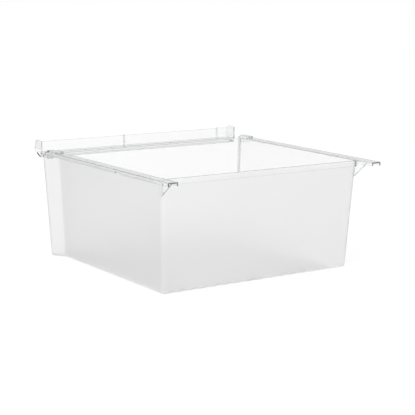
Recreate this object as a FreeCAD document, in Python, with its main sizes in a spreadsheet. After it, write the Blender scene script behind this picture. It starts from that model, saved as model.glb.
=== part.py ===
import FreeCAD, Part
import Sketcher
import os
import re

# Refrigerator crisper drawer: a clear moulded tub with side runners and a clip-on front pull.
# Millimetres. +X is the left side seen from behind, +Y the back wall, +Z up.
# The tub's walls are drawn about its own middle; each body's placement then brings the
# middle of the whole drawer, pull and tails included, to the origin.

SIZES = {
    # Tub: outside sizes at the rim, and how far each wall leans in on its way to the floor
    "tub_width": 374.2,
    "tub_depth": 355.3,
    "rim_height": 177.4,
    "wall": 2.4,
    "side_lean": 8.5,
    "back_lean": 10.8,
    "front_lean": 8.9,
    "back_round": 8.0,
    "bottom_round": 5.0,
    # Front of the tub: it flares out on both sides, and its wall stops short of the rim
    "flare_reach": 17.2,
    "flare_depth": 32.0,
    "flare_lean": 4.6,
    "flare_round": 12.0,
    "front_round": 5.3,
    "front_wall_drop": 5.0,
    "trim_setback": 9.0,
    # Runner flanges along both sides, a little over the rim, with turned-down lips and tails
    "flange_reach": 14.6,
    "flange_skin": 2.2,
    "runner_rise": 1.6,
    "flange_setback": 21.0,
    "lip_drop": 4.3,
    "lip_skin": 2.0,
    "stop_length": 28.0,
    "stop_rise": 2.4,
    "stop_drop": 10.0,
    "notch_middle": 74.0,
    "notch_length": 15.0,
    "tail_length": 39.2,
    "tail_width": 17.4,
    "tail_root_round": 10.0,
    "gusset_length": 27.0,
    "gusset_drop": 26.0,
    "gusset_skin": 2.0,
    # Band outside the back rim
    "band_drop": 9.3,
    "band_proud": 1.2,
    # Corrugated floor: how far the outer ridges stay from its left and right edges
    "ridge_count": 15.0,
    "ridge_left_margin": 17.6,
    "ridge_right_margin": 39.2,
    "ridge_rise": 2.0,
    "groove_radius": 10.0,
    # Pull: a sheet that stands on the front wall, gripping its top edge between two skirts
    "pull_rise": 16.4,
    "pull_left_inset": 1.3,
    "pull_right_inset": 10.9,
    "pull_skin": 2.2,
    "seam_drop": 10.9,
    "sheet_setback": 2.5,
    "cap_skin": 2.2,
    "inner_skirt_skin": 1.6,
    "inner_skirt_stop": 13.0,
    "fit_gap": 0.15,
    "ledge_reach": 15.8,
    "ledge_climb": 6.0,
    "ledge_skin": 2.2,
    # D-shaped plates that close the two ends of the pull
    "end_skin": 2.4,
    "end_nose_reach": 16.4,
    "end_nose_rise": 1.4,
    "end_belly_reach": 21.6,
    "end_belly_rise": 5.9,
    "end_belly_dip": 1.1,
    "end_nose_round": 2.6,
    "end_belly_round": 6.0,
    # Two stiffening ribs on the sheet
    "rib_skin": 2.0,
    "rib_reach": 3.4,
    "rib_rise": 0.6,
    "left_rib": 40.5,
    "right_rib": -155.5,
    # Snap studs near the ends of the pull, and the holes that they spring into
    "stud_inset": 6.0,
    "stud_radius": 1.9,
    "stud_reach": 1.6,
    "stud_gap": 0.25,
}

# Radius of the ring on which a sketch's corners wait until the sheet's sizes place them
START_RING = 50.0


# Document and sheet

def make_sheet(document):
    """Put every driving dimension in the sheet, with its name as the alias."""
    sheet = document.addObject("Spreadsheet::Sheet", "Sizes")
    for row, (name, value) in enumerate(SIZES.items(), start=1):
        sheet.set("A%d" % row, name)
        sheet.set("B%d" % row, str(value))
        sheet.setAlias("B%d" % row, name)
    document.recompute()
    return sheet


def formula(text):
    """Point the size names in a formula at the sheet."""
    return re.sub(r"[a-z_]+", lambda found: sheet_name(found.group()), text)


def sheet_name(word):
    return "Sizes." + word if word in SIZES else word


def bind(item, field, text):
    item.setExpression(field, formula(text))


# Sketches

def origin_feature(body, role):
    for feature in body.Origin.OriginFeatures:
        if feature.Role == role:
            return feature
    raise ValueError("no origin feature called " + role)


def sketch_on(body, name, role, offset=None):
    """Start a sketch on one of the body's own planes, moved along its normal by a formula."""
    sketch = body.newObject("Sketcher::SketchObject", name)
    sketch.AttachmentSupport = [(origin_feature(body, role), "")]
    sketch.MapMode = "FlatFace"
    if offset:
        bind(sketch, "AttachmentOffset.Base.z", offset)
    return sketch


def ring_point(index, count):
    """A starting place for corner number index, going round anticlockwise."""
    turn = FreeCAD.Rotation(FreeCAD.Vector(0, 0, 1), 360.0 * index / count)
    return turn.multVec(FreeCAD.Vector(START_RING, 0, 0))


def hold_point(sketch, geometry, end, x_formula, y_formula, start):
    """Tie one point of the sketch to formulas for its two coordinates."""
    for kind, text, value in (("DistanceX", x_formula, start.x), ("DistanceY", y_formula, start.y)):
        number = sketch.addConstraint(Sketcher.Constraint(kind, -1, 1, geometry, end, value))
        bind(sketch, "Constraints[%d]" % number, text)


def draw_polygon(sketch, corners):
    """Close a polygon whose corners are pairs of formulas."""
    count = len(corners)
    for index in range(count):
        line = Part.LineSegment(ring_point(index, count), ring_point(index + 1, count))
        sketch.addGeometry(line)
    for index in range(count):
        joint = Sketcher.Constraint("Coincident", index, 2, (index + 1) % count, 1)
        sketch.addConstraint(joint)
    for index, (x_formula, y_formula) in enumerate(corners):
        hold_point(sketch, index, 1, x_formula, y_formula, ring_point(index, count))


def draw_rectangle(sketch, left, right, low, high):
    draw_polygon(sketch, [(left, low), (right, low), (right, high), (left, high)])


def draw_circle(sketch, x_formula, y_formula, radius):
    circle = Part.Circle(FreeCAD.Vector(0, 0, 0), FreeCAD.Vector(0, 0, 1), START_RING)
    number = sketch.addGeometry(circle)
    hold_point(sketch, number, 3, x_formula, y_formula, FreeCAD.Vector(0, 0, 0))
    size = sketch.addConstraint(Sketcher.Constraint("Radius", number, START_RING))
    bind(sketch, "Constraints[%d]" % size, radius)


def draw_cap(sketch, x_formula, y_formula, radius, chord):
    """Draw the part of a circle that lies above a level chord."""
    centre = FreeCAD.Vector(0, 0, 0)
    circle = Part.Circle(centre, FreeCAD.Vector(0, 0, 1), START_RING)
    arc = Part.ArcOfCircle(circle, 0.6, 2.5)
    sketch.addGeometry(arc)
    sketch.addGeometry(Part.LineSegment(arc.EndPoint, arc.StartPoint))
    sketch.addConstraint(Sketcher.Constraint("Coincident", 0, 2, 1, 1))
    sketch.addConstraint(Sketcher.Constraint("Coincident", 1, 2, 0, 1))
    sketch.addConstraint(Sketcher.Constraint("Horizontal", 1))
    hold_point(sketch, 0, 3, x_formula, y_formula, centre)
    size = sketch.addConstraint(Sketcher.Constraint("Radius", 0, START_RING))
    bind(sketch, "Constraints[%d]" % size, radius)
    level = sketch.addConstraint(
        Sketcher.Constraint("DistanceY", -1, 1, 1, 1, arc.EndPoint.y))
    bind(sketch, "Constraints[%d]" % level, chord)


# Solid features

def add_pad(body, sketch, name, length, backwards=False, both_ways=False):
    pad = body.newObject("PartDesign::Pad", name)
    pad.Profile = sketch
    pad.Reversed = backwards
    pad.SideType = "Symmetric" if both_ways else "One side"
    bind(pad, "Length", length)
    return pad


def add_pocket(body, sketch, name, length, backwards=False, both_ways=False):
    pocket = body.newObject("PartDesign::Pocket", name)
    pocket.Profile = sketch
    pocket.Reversed = backwards
    pocket.SideType = "Symmetric" if both_ways else "One side"
    bind(pocket, "Length", length)
    return pocket


def add_draft(body, base, name, lean, wanted):
    """Lean the walls that pass the test inwards, hinged on the rim."""
    draft = body.newObject("PartDesign::Draft", name)
    draft.Base = (base, face_names(base, wanted))
    draft.NeutralPlane = (base, face_names(base, looks_up))
    draft.Reversed = True
    bind(draft, "Angle", "atan(" + lean + " / rim_height)")
    body.Tip = draft
    return draft


def add_shell(body, base, name, thickness, opened):
    """Hollow the solid out to an even wall, open at the faces that pass the test."""
    shell = body.newObject("PartDesign::Thickness", name)
    shell.Base = (base, face_names(base, opened))
    shell.Reversed = True
    bind(shell, "Value", thickness)
    body.Tip = shell
    return shell


def add_mirror(body, name, originals):
    """Repeat features on the other side of the drawer's middle plane."""
    mirror = body.newObject("PartDesign::Mirrored", name)
    mirror.Originals = originals
    mirror.MirrorPlane = (origin_feature(body, "YZ_Plane"), [""])
    body.Tip = mirror
    return mirror


def add_row(body, name, original, count, length):
    """Repeat a feature in a row along X."""
    row = body.newObject("PartDesign::LinearPattern", name)
    row.Originals = [original]
    row.Direction = (origin_feature(body, "X_Axis"), [""])
    bind(row, "Occurrences", count)
    bind(row, "Length", length)
    body.Tip = row
    return row


def add_fillet(body, base, name, radius, wanted):
    """Round the edges that pass the test."""
    fillet = body.newObject("PartDesign::Fillet", name)
    fillet.Base = (base, edge_names(base, wanted))
    bind(fillet, "Radius", radius)
    body.Tip = fillet
    return fillet


# Picking edges and faces by where they lie

def edge_names(base, wanted):
    return picked_names(base, "Edge", wanted)


def face_names(base, wanted):
    return picked_names(base, "Face", wanted)


def picked_names(base, kind, wanted):
    base.Document.recompute()
    shapes = base.Shape.Edges if kind == "Edge" else base.Shape.Faces
    names = [kind + str(number) for number, shape in enumerate(shapes, start=1) if wanted(shape)]
    if not names:
        raise ValueError("nothing found on " + base.Name)
    return names


def middle_of(edge):
    return edge.valueAt((edge.FirstParameter + edge.LastParameter) / 2)


def direction_of(edge):
    start = edge.Vertexes[0].Point
    end = edge.Vertexes[-1].Point
    return (end - start).normalize() if start.distanceToPoint(end) > 1e-6 else FreeCAD.Vector()


def is_steep(edge):
    return abs(direction_of(edge).z) > 0.9


def normal_of(face):
    first_u, last_u, first_v, last_v = face.ParameterRange
    return face.normalAt((first_u + last_u) / 2, (first_v + last_v) / 2)


def looks_up(face):
    return normal_of(face).z > 0.99


def is_near(value, target, room=0.8):
    return abs(value - target) < room


# Outlines of the tub

def front_half():
    """Distance from the drawer's middle plane to the front corners at the rim."""
    return "(tub_width / 2 + flare_reach)"


def front_top():
    return "(rim_height - front_wall_drop)"


def flange_edge():
    """Distance from the drawer's middle plane to the outer face of a runner's lip."""
    return "(tub_width / 2 + flange_reach)"


def flange_front():
    """Distance towards the front at which the runners start."""
    return "(tub_depth / 2 - flange_setback)"


def flare_slope():
    """How far the flared side walls spread for each millimetre towards the front."""
    return "(flare_reach / flare_depth)"


def wall_middle():
    """Distance from the drawer's middle plane to the middle of a side wall at the rim."""
    return "(tub_width / 2 - wall / 2)"


def flare_root():
    """Distance towards the front at which the middle of a side wall turns outwards."""
    return "(tub_depth / 2 - flare_depth + wall / 2 * tan(atan(" + flare_slope() + ") / 2))"


def rim_corners():
    """The tub's outline at the rim, anticlockwise from the back right corner."""
    right = [("-tub_width / 2", "tub_depth / 2"),
             ("-tub_width / 2", "flare_depth - tub_depth / 2"),
             ("-" + front_half(), "-tub_depth / 2")]
    left = [(out[1:], along) for out, along in reversed(right)]
    return right + left


def runner_corners(front, back):
    """Outline of a runner's top from front to back, closed along the middle of the wall."""
    edge = flange_edge()
    bend = "back_round - wall / 3"
    corner_x = "tub_width / 2 - back_round"
    corner_y = "tub_depth / 2 - back_round"
    nose = wall_middle() + " + ({0} - {1}) * {2}".format(front, flare_root(), flare_slope())
    inner = [(corner_x + " + (" + bend + ") * sqrt(0.5)", corner_y + " + (" + bend + ") * sqrt(0.5)"),
             (corner_x + " + " + bend, corner_y),
             (wall_middle(), "-" + flare_root()),
             (nose, "-" + front)]
    tail = [(edge, back), (edge + " - tail_width", back), (edge + " - tail_width", "tub_depth / 2")]
    return [(edge, "-" + front)] + tail + inner


# Drawer tub

def start_body(document, name):
    """A body whose placement centres the whole drawer on the origin."""
    body = document.addObject("PartDesign::Body", name)
    body.Label = name
    bind(body, "Placement.Base.y", "(end_belly_reach - tail_length) / 2")
    return body


def build_tub(document):
    body = start_body(document, "drawer_tub")
    tub_shell(body)
    runner_plates(body)
    runner_details(body)
    front_stops(body)
    corrugate_floor(body)
    trim_front(body)
    notch_lips(body)
    add_studs(body)
    return body


def tub_shell(body):
    """A block with drafted walls and rounded edges, hollowed out to an even wall."""
    outline = sketch_on(body, "RimOutline", "XY_Plane", "rim_height")
    draw_polygon(outline, rim_corners())
    block = add_pad(body, outline, "TubBlock", "rim_height", backwards=True)
    sides = add_draft(body, block, "SideDraft", "side_lean",
                      lambda face: abs(normal_of(face).x) > 0.99)
    flares = add_draft(body, sides, "FlareDraft", "flare_lean",
                       lambda face: 0.5 < abs(normal_of(face).x) < 0.99)
    back = add_draft(body, flares, "BackDraft", "back_lean",
                     lambda face: normal_of(face).y > 0.9)
    front = add_draft(body, back, "FrontDraft", "front_lean",
                      lambda face: normal_of(face).y < -0.99)
    half_depth = SIZES["tub_depth"] / 2
    root = SIZES["flare_depth"] - half_depth
    rounded = add_fillet(body, front, "BackRound", "back_round",
                         lambda edge: is_steep(edge) and middle_of(edge).y > 0)
    rounded = add_fillet(body, rounded, "FlareRound", "flare_round",
                         lambda edge: is_steep(edge) and is_near(middle_of(edge).y, root, 8))
    rounded = add_fillet(body, rounded, "FrontRound", "front_round",
                         lambda edge: is_steep(edge) and middle_of(edge).y < root - 16)
    rounded = add_fillet(body, rounded, "BottomRound", "bottom_round",
                         lambda edge: is_near(middle_of(edge).z, 0, 0.1))
    add_shell(body, rounded, "TubShell", "wall", looks_up)


def runner_plates(body):
    """Top plates of the runners, which run on behind the tub, and the rim band between them."""
    inner_edge = "(" + flange_edge() + " - tail_width)"
    band = sketch_on(body, "RimBandOutline", "XY_Plane", "rim_height")
    draw_rectangle(band, "-(" + inner_edge + " + lip_skin)", inner_edge + " + lip_skin",
                   "tub_depth / 2 - back_lean * band_drop / rim_height - wall / 2",
                   "tub_depth / 2 + band_proud")
    add_pad(body, band, "RimBand", "band_drop", backwards=True)
    plate = sketch_on(body, "RunnerOutline", "XY_Plane", "rim_height + runner_rise")
    draw_polygon(plate, runner_corners(flange_front(), "tub_depth / 2 + tail_length"))
    pad = add_pad(body, plate, "RunnerPlate", "flange_skin", backwards=True)
    both = add_mirror(body, "RunnerPlates", [pad])
    root = SIZES["tub_depth"] / 2 + SIZES["band_proud"]
    inner = SIZES["tub_width"] / 2 + SIZES["flange_reach"] - SIZES["tail_width"]
    add_fillet(body, both, "TailRootRound", "tail_root_round",
               lambda edge: is_steep(edge) and is_near(middle_of(edge).y, root)
               and is_near(abs(middle_of(edge).x), inner))


def runner_details(body):
    """Turned-down lips and the gussets under the tails."""
    edge = flange_edge()
    outer = sketch_on(body, "OuterLipOutline", "XY_Plane", "rim_height")
    draw_rectangle(outer, edge + " - lip_skin", edge, "-" + flange_front(),
                   "tub_depth / 2 + tail_length")
    outer_lip = add_pad(body, outer, "OuterLip", "lip_drop", backwards=True)
    inner = sketch_on(body, "TailLipOutline", "XY_Plane", "rim_height")
    draw_rectangle(inner, edge + " - tail_width", edge + " - tail_width + lip_skin",
                   "tub_depth / 2 - wall / 2", "tub_depth / 2 + tail_length")
    tail_lip = add_pad(body, inner, "TailLip", "lip_drop", backwards=True)
    web = sketch_on(body, "GussetOutline", "YZ_Plane",
                    "tub_width / 2 - side_lean * gusset_drop / rim_height")
    top = "rim_height + runner_rise - flange_skin"
    start = "tub_depth / 2 - back_round * 2 / 3"
    draw_polygon(web, [(start, top), (start, "rim_height - gusset_drop"),
                       ("tub_depth / 2 - back_round / 2", "rim_height - gusset_drop"),
                       ("tub_depth / 2 + gusset_length", top)])
    gusset = add_pad(body, web, "Gusset", "gusset_skin", backwards=True)
    add_mirror(body, "RunnerDetails", [outer_lip, tail_lip, gusset])


def front_stops(body):
    """Front end of each runner: a raised pad, a deeper lip and a face that stops on the rail."""
    edge = flange_edge()
    front = flange_front()
    back = "(" + front + " - stop_length)"
    nose = wall_middle() + " + (" + front + " - " + flare_root() + ") * " + flare_slope()
    raised = sketch_on(body, "StopOutline", "XY_Plane", "rim_height")
    draw_polygon(raised, [(edge, "-" + front), (edge, "-" + back), (wall_middle(), "-" + back),
                          (wall_middle(), "-" + flare_root()), (nose, "-" + front)])
    stop = add_pad(body, raised, "FrontStop", "runner_rise + stop_rise")
    deep = sketch_on(body, "StopLipOutline", "YZ_Plane", edge)
    draw_polygon(deep, [("-" + front, "rim_height"), ("-" + front, "rim_height - stop_drop"),
                        ("-" + back, "rim_height - lip_drop"), ("-" + back, "rim_height")])
    lip = add_pad(body, deep, "StopLip", "lip_skin", backwards=True)
    face = sketch_on(body, "StopFaceOutline", "XY_Plane", "rim_height")
    draw_rectangle(face, nose + " - lip_skin * " + flare_slope(), edge, "-" + front,
                   "lip_skin - " + front)
    closing = add_pad(body, face, "StopFace", "stop_drop", backwards=True)
    add_mirror(body, "FrontStops", [stop, lip, closing])


def corrugate_floor(body):
    """Raise rounded ridges inside the floor and cut matching grooves under them."""
    floor_half = "(tub_width / 2 - side_lean)"
    first = "ridge_right_margin - " + floor_half
    run = "2 * " + floor_half + " - ridge_left_margin - ridge_right_margin"
    centre = "ridge_rise - groove_radius"
    ridge = sketch_on(body, "RidgeSection", "XZ_Plane",
                      "((front_lean - 0.8 * wall) - (back_lean - 0.8 * wall)) / -2")
    draw_cap(ridge, first, centre, "groove_radius + wall", "0.85 * wall")
    pad = add_pad(body, ridge, "FloorRidge",
                  "tub_depth - front_lean - back_lean - 1.6 * wall", both_ways=True)
    add_row(body, "FloorRidges", pad, "ridge_count", run)
    groove = sketch_on(body, "GrooveSection", "XZ_Plane")
    draw_circle(groove, first, centre, "groove_radius")
    pocket = add_pocket(body, groove, "FloorGroove", "tub_depth * 1.2", both_ways=True)
    add_row(body, "FloorGrooves", pocket, "ridge_count", run)


def trim_front(body):
    """Stop the front wall and its corners short of the rim, to make room for the pull."""
    sketch = sketch_on(body, "FrontTrimOutline", "XY_Plane", front_top())
    draw_rectangle(sketch, "-tub_width", "tub_width", "-tub_depth",
                   "trim_setback - tub_depth / 2")
    add_pocket(body, sketch, "FrontTrim", "rim_height", backwards=True)


def notch_lips(body):
    """Take a short stretch out of each runner's outer lip."""
    sketch = sketch_on(body, "NotchOutline", "YZ_Plane", flange_edge())
    draw_rectangle(sketch, "notch_middle - notch_length / 2", "notch_middle + notch_length / 2",
                   "rim_height - 2 * lip_drop", "rim_height - flange_skin")
    notch = add_pocket(body, sketch, "LipNotch", "lip_skin")
    add_mirror(body, "LipNotches", [notch])


def add_studs(body):
    """Two small studs on the front wall, which the pull springs over."""
    face = "tub_depth / 2 - front_lean * (rim_height - {0}) / rim_height".format(stud_level())
    sketch = sketch_on(body, "StudOutline", "XZ_Plane", face + " + stud_reach")
    for place in stud_places():
        draw_circle(sketch, place, stud_level(), "stud_radius")
    add_pad(body, sketch, "Studs", "stud_reach + wall / 2", backwards=True)


def stud_level():
    return "((" + front_top() + " + " + seam() + ") / 2)"


def stud_places():
    """Distances of the studs from the drawer's middle plane, one near each end of the pull."""
    return [left_end() + " - stud_inset", "stud_inset - " + right_end()]


def seam():
    """Height of the pull's lower edge, where its seam shows on the front wall."""
    return "(rim_height - seam_drop)"


def left_end():
    return "(" + front_half() + " - pull_left_inset)"


def right_end():
    return "(" + front_half() + " - pull_right_inset)"


# Front pull

def wall_out():
    """Distance from the drawer's middle to the outside of the front wall at its top edge."""
    return "(tub_depth / 2 - front_lean * front_wall_drop / rim_height)"


def wall_in():
    """Distance from the drawer's middle to the inside of the front wall at the seam."""
    return "(tub_depth / 2 - front_lean * seam_drop / rim_height - wall)"


def build_pull(document):
    body = start_body(document, "front_pull")
    pull_section(body)
    pull_ends(body)
    pull_ribs(body)
    pull_holes(body)
    return body


def pad_along_pull(body, sketch, name, inset):
    """Pad a section from end to end of the pull, stopping short of both ends by the inset."""
    pad = body.newObject("PartDesign::Pad", name)
    pad.Profile = sketch
    pad.SideType = "Two sides"
    bind(pad, "Length", left_end() + " - " + inset)
    bind(pad, "Length2", right_end() + " - " + inset)
    return pad


def pull_section(body):
    """Sheet, cap, outer skirt and forward ledge in one section, and the shorter inner skirt."""
    skirt = wall_out() + " + fit_gap"
    front = skirt + " + pull_skin"
    sheet = "tub_depth / 2 - sheet_setback"
    rear = wall_in() + " - fit_gap - inner_skirt_skin"
    top = "rim_height + pull_rise"
    cap_top = front_top() + " + cap_skin"
    outline = [(sheet, top), (sheet, cap_top), (rear, cap_top), (rear, front_top()),
               (skirt, front_top()), (skirt, seam()), (front, seam()),
               ("tub_depth / 2 + ledge_reach", seam() + " + ledge_climb"),
               ("tub_depth / 2 + ledge_reach", seam() + " + ledge_climb + ledge_skin"),
               (front, seam() + " + ledge_skin"), (front, cap_top),
               (sheet + " + pull_skin", cap_top), (sheet + " + pull_skin", top)]
    sketch = sketch_on(body, "PullSection", "YZ_Plane")
    draw_polygon(sketch, [("-(" + out + ")", up) for out, up in outline])
    pad_along_pull(body, sketch, "PullStrip", "end_skin / 2")
    grip = sketch_on(body, "InnerSkirtSection", "YZ_Plane")
    draw_rectangle(grip, "-(" + wall_in() + " - fit_gap)", "-(" + rear + ")", seam(),
                   front_top() + " + cap_skin / 2")
    pad_along_pull(body, grip, "InnerSkirt", "inner_skirt_stop")


def pull_ends(body):
    """D-shaped plates that close the ends of the pull."""
    sheet = "tub_depth / 2 - sheet_setback"
    skirt = wall_out() + " + fit_gap"
    belly = "tub_depth / 2 + end_belly_reach"
    top = "rim_height + pull_rise"
    outline = [(sheet, top), (sheet, front_top()), (skirt, front_top()), (skirt, seam()),
               (skirt + " + pull_skin", seam()),
               ("tub_depth / 2 + ledge_reach", seam() + " + ledge_climb"),
               (belly, "rim_height - end_belly_dip"), (belly, "rim_height + end_belly_rise"),
               ("tub_depth / 2 + end_nose_reach", top + " + end_nose_rise")]
    for title, place, inwards in (("Left", left_end(), True), ("Right", "-" + right_end(), False)):
        sketch = sketch_on(body, title + "EndOutline", "YZ_Plane", place)
        draw_polygon(sketch, [("-(" + out + ")", up) for out, up in outline])
        plate = add_pad(body, sketch, title + "End", "end_skin", backwards=inwards)
    nose = add_fillet(body, plate, "EndNoseRound", "end_nose_round",
                      lambda edge: on_outline(edge, "end_nose_reach", "pull_rise", "end_nose_rise"))
    add_fillet(body, nose, "EndBellyRound", "end_belly_round",
               lambda edge: on_outline(edge, "end_belly_reach", "end_belly_rise"))


def on_outline(edge, reach, *rises):
    """True for an edge along X at this reach before the rim's front and height over the rim."""
    place = middle_of(edge)
    height = SIZES["rim_height"] + sum(SIZES[rise] for rise in rises)
    return (abs(direction_of(edge).x) > 0.99 and is_near(place.z, height)
            and is_near(-place.y, SIZES["tub_depth"] / 2 + SIZES[reach]))


def pull_ribs(body):
    """Two upright ribs on the front of the sheet."""
    sheet_front = "tub_depth / 2 - sheet_setback + pull_skin"
    for name in ("left_rib", "right_rib"):
        title = name.replace("_", " ").title().replace(" ", "")
        sketch = sketch_on(body, title + "Outline", "YZ_Plane", name)
        draw_rectangle(sketch, "-(" + sheet_front + " + rib_reach)",
                       "-(" + sheet_front + " - pull_skin / 2)",
                       front_top() + " + cap_skin / 2", "rim_height + pull_rise + rib_rise")
        add_pad(body, sketch, title, "rib_skin", both_ways=True)


def pull_holes(body):
    """Holes in the outer skirt for the tub's snap studs."""
    sketch = sketch_on(body, "StudHoleOutline", "XZ_Plane", wall_out() + " + 2 * pull_skin")
    for place in stud_places():
        draw_circle(sketch, place, stud_level(), "stud_radius + stud_gap")
    add_pocket(body, sketch, "StudHoles", "2 * pull_skin")


# Checks and export

def check_document(document, bodies):
    """Stop on any failed object, and on any sub-part without one valid solid."""
    for item in document.Objects:
        for flag in ("Invalid", "Error"):
            if flag in item.State:
                raise RuntimeError("failed object: " + item.Name)
    for body in bodies:
        if body.Shape.isNull() or not body.Shape.isValid():
            raise RuntimeError("bad shape: " + body.Label)
        if len(body.Shape.Solids) != 1:
            raise RuntimeError("not one solid: " + body.Label)


def export(bodies):
    os.makedirs("parts", exist_ok=True)
    for body in bodies:
        body.Shape.exportStep("parts/" + body.Label + ".step")
        box = body.Shape.BoundBox
        print(body.Label, "volume cm3 %.1f" % (body.Shape.Volume / 1000),
              "X %.1f to %.1f" % (box.XMin, box.XMax), "Y %.1f to %.1f" % (box.YMin, box.YMax),
              "Z %.1f to %.1f" % (box.ZMin, box.ZMax))


def main():
    os.makedirs("parts", exist_ok=True)
    document = FreeCAD.newDocument("CrisperDrawer")
    make_sheet(document)
    bodies = [build_tub(document), build_pull(document)]
    document.recompute()
    check_document(document, bodies)
    export(bodies)


main()
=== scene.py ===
import math

import bpy
from mathutils import Matrix, Vector

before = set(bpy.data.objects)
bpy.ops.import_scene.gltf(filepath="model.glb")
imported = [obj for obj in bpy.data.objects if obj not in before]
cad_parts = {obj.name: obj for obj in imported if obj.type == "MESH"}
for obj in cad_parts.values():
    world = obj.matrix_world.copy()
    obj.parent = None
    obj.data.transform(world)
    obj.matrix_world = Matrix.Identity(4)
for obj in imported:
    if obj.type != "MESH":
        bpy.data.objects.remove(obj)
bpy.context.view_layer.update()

WHITE = (1.0, 1.0, 1.0, 1.0)

# Camera: where it looks, from where, and how long its lens is, read off the photograph
AIM = Vector((-0.00624, 0.00402, 0.09108))
TURN_DEGREES = 145.707
CLIMB_DEGREES = 10.490
TILT_DEGREES = 0.505
DISTANCE = 2.18156
FOCAL_PIXELS = 1316.2
PHOTO_PIXELS = 415
SENSOR_MM = 36.0

# Clear moulded polystyrene: how strongly it takes light away on its way through, per metre
PLASTIC_INDEX = 1.57
PLASTIC_DENSITY = 5.0
PLASTIC_TINT = (0.10, 0.17, 0.14, 1.0)

# Its surface: open panels, glossy faces, and painted shade on edges where the light turns away
CLEAR_COLOUR = WHITE
GLOSS_COLOUR = (0.964, 0.972, 0.967, 1.0)
# Painted shade: the dark colour mixed into the clear plastic on edges, in corners and on gloss
# seen edge on
PAINTED_SHADE_COLOUR = (0.10, 0.13, 0.12, 1.0)

# Each piece is satin between two heights and in front of a place along Y, in metres, and glossy
# elsewhere. Its rounded edges get painted shade, and so do its glossy faces where they are seen
# edge on.
# The tub is satin right down to its floor, and the pull lies wholly in front of its place along Y.
TUB_LOOK = {"satin_low": -0.1, "satin_top": 0.1755, "satin_back": 0.1695,
            "edge_painted_shade": 0.70, "grazing_painted_shade": 0.90}
PULL_LOOK = {"satin_low": 0.1790, "satin_top": 0.1935, "satin_back": 0.1695,
             "edge_painted_shade": 0.30, "grazing_painted_shade": 0.10}
HEIGHT_FADE = 0.0006
BACK_FADE = 0.0005

# Roughness: of gloss, what satin adds outside, its share inside, and cloudy unevenness
GLOSS_ROUGHNESS = 0.03
SATIN_ROUGHNESS = 0.26
INSIDE_SHARE = 0.62
DRAWER_MIDDLE = (0.0, 0.0, 0.09)
SIDE_FADE = 0.005
CLOUD_SCALE = 22.0
CLOUD_DETAIL = 4.0
CLOUD_LOW = 0.96
CLOUD_SPREAD = 0.06

# Marks of the mould: wide faint waves all over, fine grain on the satin, and soft edges
MARK_DETAIL = 2.0
WAVE_SCALE = 14.0
WAVE_STRENGTH = 0.10
WAVE_HEIGHT = 0.002
GRAIN_SCALE = 900.0
GRAIN_STRENGTH = 0.25
GRAIN_HEIGHT = 0.0001
EDGE_ROUND = 0.0012
EDGE_SAMPLES = 6

# Where the painted shade sets in and where it is full: on an edge, as the rounded normal leaves
# the flat one; in an upright corner, as the normal turns between X and Y and away from the view;
# and on gloss, as the face is seen edge on
EDGE_RANGE = (0.004, 0.12)
CORNER_RANGE = (0.08, 0.25)
TURNING_RANGE = (0.25, 0.60)
GRAZING_RANGE = (0.70, 0.95)
FACING_BLEND = 0.5
CORNER_PAINTED_SHADE = 0.20

# Studio
FLOOR_SIZE = 30.0
FLOOR_GLOW = 0.79
FLOOR_COLOUR = (0.30, 0.30, 0.30, 1.0)
ROOM_STRENGTH = 0.70
LAMP_PLACE = (1.2, 0.6, 2.2)
LAMP_AIM = (0, 0, 0)
LAMP_SIZE = 1.6
LAMP_WATTS = 12
LIGHT_BOUNCES = 24


def make_camera():
    """Stand the camera where the photograph was taken from."""
    turn = math.radians(TURN_DEGREES)
    climb = math.radians(CLIMB_DEGREES)
    level = math.cos(climb)
    back = Vector((math.sin(turn) * level, -math.cos(turn) * level, math.sin(climb)))
    data = bpy.data.cameras.new("photo_camera")
    data.sensor_fit = "HORIZONTAL"
    data.sensor_width = SENSOR_MM
    data.lens = FOCAL_PIXELS * SENSOR_MM / PHOTO_PIXELS
    camera = bpy.data.objects.new("photo_camera", data)
    bpy.context.scene.collection.objects.link(camera)
    upright = back.to_track_quat("Z", "Y").to_matrix().to_4x4()
    roll = Matrix.Rotation(math.radians(TILT_DEGREES), 4, "Z")
    camera.matrix_world = Matrix.Translation(AIM + back * DISTANCE) @ upright @ roll
    bpy.context.scene.camera = camera


def feed(tree, socket, value):
    """Link another node's output to a socket, or set it to a number or colour."""
    if isinstance(value, bpy.types.NodeSocket):
        tree.links.new(value, socket)
    else:
        socket.default_value = value


def add_node(tree, kind, **values):
    """Add a node and feed its inputs by name."""
    node = tree.nodes.new(kind)
    for name, value in values.items():
        feed(tree, node.inputs[name.replace("_", " ")], value)
    return node


def math_node(tree, kind, *values):
    """A math node's result."""
    node = tree.nodes.new("ShaderNodeMath")
    node.operation = kind
    for socket, value in zip(node.inputs, values):
        feed(tree, socket, value)
    return node.outputs[0]


def vector_node(tree, kind, output, first, second):
    """A vector math node's result."""
    node = tree.nodes.new("ShaderNodeVectorMath")
    node.operation = kind
    feed(tree, node.inputs[0], first)
    feed(tree, node.inputs[1], second)
    return node.outputs[output]


def step_up(tree, value, low, high):
    """Goes smoothly from 0 to 1 as the value goes from low to high."""
    node = add_node(tree, "ShaderNodeMapRange", Value=value, From_Min=low, From_Max=high)
    node.interpolation_type = "SMOOTHSTEP"
    return node.outputs["Result"]


def noise(tree, place, scale, detail):
    """Noise fixed to the piece."""
    node = add_node(tree, "ShaderNodeTexNoise", Vector=place.outputs["Object"],
                    Scale=scale, Detail=detail)
    return node.outputs["Fac"]


def mix_colours(tree, share, first, second):
    """From the first colour to the second as the share goes from 0 to 1."""
    node = tree.nodes.new("ShaderNodeMix")
    node.data_type = "RGBA"
    factor, colour_a, colour_b = node.inputs[0], node.inputs[6], node.inputs[7]
    mixed_colour = node.outputs[2]
    feed(tree, factor, share)
    feed(tree, colour_a, first)
    feed(tree, colour_b, second)
    return mixed_colour


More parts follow.
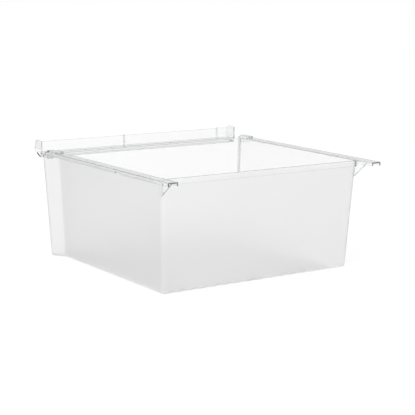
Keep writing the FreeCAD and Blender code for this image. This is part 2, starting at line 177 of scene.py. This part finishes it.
def mix_shaders(tree, share, first, second):
    """From the first shader to the second as the share goes from 0 to 1."""
    node = tree.nodes.new("ShaderNodeMixShader")
    for socket, value in zip(node.inputs, (share, first, second)):
        tree.links.new(value, socket)
    return node.outputs[0]


def seen_white(tree):
    """One for rays that show the background: to the camera, off gloss or through plastic."""
    path = tree.nodes.new("ShaderNodeLightPath")
    seen = math_node(tree, "MAXIMUM", path.outputs["Is Camera Ray"], path.outputs["Is Glossy Ray"])
    return math_node(tree, "MAXIMUM", seen, path.outputs["Is Transmission Ray"])


def new_material(name):
    """A material with an empty node tree and its output."""
    material = bpy.data.materials.new(name)
    material.use_nodes = True
    tree = material.node_tree
    tree.nodes.clear()
    return material, tree, tree.nodes.new("ShaderNodeOutputMaterial")


def make_world():
    """A pale room that shows as plain white behind the drawer."""
    world = bpy.data.worlds.new("studio")
    world.use_nodes = True
    tree = world.node_tree
    tree.nodes.clear()
    output = tree.nodes.new("ShaderNodeOutputWorld")
    room = add_node(tree, "ShaderNodeBackground", Color=WHITE, Strength=ROOM_STRENGTH)
    white = add_node(tree, "ShaderNodeBackground", Color=WHITE, Strength=1.0)
    shown = mix_shaders(tree, seen_white(tree), room.outputs[0], white.outputs[0])
    tree.links.new(shown, output.inputs[0])
    world.cycles.sampling_method = "NONE"
    bpy.context.scene.world = world


def make_floor():
    """A white floor that keeps the drawer's faint shadow."""
    half = FLOOR_SIZE / 2
    mesh = bpy.data.meshes.new("floor")
    corners = [(-half, -half, 0), (half, -half, 0), (half, half, 0), (-half, half, 0)]
    mesh.from_pydata(corners, [], [(0, 1, 2, 3)])
    floor = bpy.data.objects.new("floor", mesh)
    bpy.context.scene.collection.objects.link(floor)
    material, tree, output = new_material("white_floor")
    glow = add_node(tree, "ShaderNodeEmission", Color=WHITE, Strength=FLOOR_GLOW)
    paint = add_node(tree, "ShaderNodeBsdfDiffuse", Color=FLOOR_COLOUR)
    both = tree.nodes.new("ShaderNodeAddShader")
    tree.links.new(glow.outputs[0], both.inputs[0])
    tree.links.new(paint.outputs[0], both.inputs[1])
    shown = mix_shaders(tree, seen_white(tree), paint.outputs[0], both.outputs[0])
    tree.links.new(shown, output.inputs[0])
    mesh.materials.append(material)


def make_lamp(name, place, aim, size, watts):
    """A soft square lamp."""
    data = bpy.data.lights.new(name, "AREA")
    data.shape = "SQUARE"
    data.size = size
    data.energy = watts
    lamp = bpy.data.objects.new(name, data)
    bpy.context.scene.collection.objects.link(lamp)
    lamp.location = place
    lamp.rotation_euler = (Vector(place) - Vector(aim)).to_track_quat("Z", "Y").to_euler()


def gloss_mask(tree, place, satin_low, satin_top, satin_back):
    """One on the glossy faces above, behind and below the satin, and zero on the satin."""
    parts = add_node(tree, "ShaderNodeSeparateXYZ", Vector=place.outputs["Object"])
    height, along = parts.outputs["Z"], parts.outputs["Y"]
    above = step_up(tree, height, satin_top - HEIGHT_FADE, satin_top + HEIGHT_FADE)
    behind = step_up(tree, along, satin_back, satin_back + BACK_FADE)
    below = step_up(tree, height, satin_low + HEIGHT_FADE, satin_low - HEIGHT_FADE)
    return math_node(tree, "MAXIMUM", math_node(tree, "MAXIMUM", above, behind), below)


def satin_amount(tree, place, glossy):
    """Full on satin faces outside, less on those that face the drawer's middle, none on gloss."""
    away = vector_node(tree, "SUBTRACT", "Vector", place.outputs["Object"], DRAWER_MIDDLE)
    outward = vector_node(tree, "DOT_PRODUCT", "Value", away, place.outputs["Normal"])
    outside = step_up(tree, outward, -SIDE_FADE, SIDE_FADE)
    side = math_node(tree, "MULTIPLY_ADD", outside, 1.0 - INSIDE_SHARE, INSIDE_SHARE)
    return math_node(tree, "MULTIPLY", math_node(tree, "SUBTRACT", 1.0, glossy), side)


def uneven_roughness(tree, place, satin):
    """Roughness of satin and gloss, a little cloudy."""
    cloud = noise(tree, place, CLOUD_SCALE, CLOUD_DETAIL)
    rough = math_node(tree, "MULTIPLY_ADD", satin, SATIN_ROUGHNESS, GLOSS_ROUGHNESS)
    uneven = math_node(tree, "MULTIPLY_ADD", cloud, CLOUD_SPREAD, CLOUD_LOW)
    return math_node(tree, "MULTIPLY", rough, uneven)


def moulded_normal(tree, place, satin, rounded):
    """Waves all over and grain on the satin, on top of the rounded edges."""
    waves = noise(tree, place, WAVE_SCALE, MARK_DETAIL)
    grain = noise(tree, place, GRAIN_SCALE, MARK_DETAIL)
    wavy = add_node(tree, "ShaderNodeBump", Strength=WAVE_STRENGTH, Distance=WAVE_HEIGHT,
                    Height=waves, Normal=rounded)
    strength = math_node(tree, "MULTIPLY", satin, GRAIN_STRENGTH)
    grainy = add_node(tree, "ShaderNodeBump", Strength=strength, Distance=GRAIN_HEIGHT,
                      Height=grain, Normal=wavy.outputs["Normal"])
    return grainy.outputs["Normal"]


def painted_shade_amount(tree, glossy, rounded, edge_painted_shade, grazing_painted_shade):
    """How much painted shade goes on the clear plastic: on edges, in corners and on gloss seen
    edge on.
    """
    flat = tree.nodes.new("ShaderNodeNewGeometry").outputs["Normal"]
    turned = vector_node(tree, "DOT_PRODUCT", "Value", rounded, flat)
    off = math_node(tree, "SUBTRACT", 1.0, turned)
    sharp = math_node(tree, "MULTIPLY", step_up(tree, off, *EDGE_RANGE), edge_painted_shade)
    parts = add_node(tree, "ShaderNodeSeparateXYZ", Vector=flat)
    between = math_node(tree, "MULTIPLY", parts.outputs["X"], parts.outputs["Y"])
    corner = step_up(tree, math_node(tree, "ABSOLUTE", between), *CORNER_RANGE)
    slope = add_node(tree, "ShaderNodeLayerWeight", Blend=FACING_BLEND)
    turning = step_up(tree, slope.outputs["Facing"], *TURNING_RANGE)
    bend = math_node(tree, "MULTIPLY", corner, turning)
    bend = math_node(tree, "MULTIPLY", bend, CORNER_PAINTED_SHADE)
    grazing = step_up(tree, slope.outputs["Facing"], *GRAZING_RANGE)
    grazing = math_node(tree, "MULTIPLY", grazing, glossy)
    grazing = math_node(tree, "MULTIPLY", grazing, grazing_painted_shade)
    return math_node(tree, "MAXIMUM", math_node(tree, "MAXIMUM", sharp, bend), grazing)


def clear_plastic(name, satin_low, satin_top, satin_back, edge_painted_shade, grazing_painted_shade):
    """Clear polystyrene, satin on its panels and glossy on its rims, coloured in its depth, with
    painted shade on its edges, in its corners and on gloss seen edge on.
    """
    material, tree, output = new_material(name)
    place = tree.nodes.new("ShaderNodeTexCoord")
    glossy = gloss_mask(tree, place, satin_low, satin_top, satin_back)
    satin = satin_amount(tree, place, glossy)
    edges = add_node(tree, "ShaderNodeBevel", Radius=EDGE_ROUND)
    edges.samples = EDGE_SAMPLES
    rounded = edges.outputs["Normal"]
    # Painted shade: how far the base colour turns to the dark edge colour on edges, in corners and
    # on gloss seen edge on
    dark = painted_shade_amount(tree, glossy, rounded, edge_painted_shade, grazing_painted_shade)
    base = mix_colours(tree, glossy, CLEAR_COLOUR, GLOSS_COLOUR)
    surface = add_node(tree, "ShaderNodeBsdfPrincipled", IOR=PLASTIC_INDEX,
                       Transmission_Weight=1.0,
                       Base_Color=mix_colours(tree, dark, base, PAINTED_SHADE_COLOUR),
                       Roughness=uneven_roughness(tree, place, satin),
                       Normal=moulded_normal(tree, place, satin, rounded))
    depth = add_node(tree, "ShaderNodeVolumeAbsorption", Color=PLASTIC_TINT,
                     Density=PLASTIC_DENSITY)
    tree.links.new(surface.outputs[0], output.inputs["Surface"])
    tree.links.new(depth.outputs[0], output.inputs["Volume"])
    return material


def dress(node, material):
    """Give a CAD node its material."""
    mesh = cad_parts[node].data
    mesh.materials.clear()
    mesh.materials.append(material)


make_camera()
make_world()
make_floor()
make_lamp("key_lamp", LAMP_PLACE, LAMP_AIM, LAMP_SIZE, LAMP_WATTS)
dress("drawer_tub", clear_plastic("clear_shell", **TUB_LOOK))
dress("front_pull", clear_plastic("clear_pull", **PULL_LOOK))

scene = bpy.context.scene
scene.view_settings.view_transform = "Standard"
scene.cycles.max_bounces = LIGHT_BOUNCES
scene.cycles.transmission_bounces = LIGHT_BOUNCES
scene.cycles.glossy_bounces = LIGHT_BOUNCES
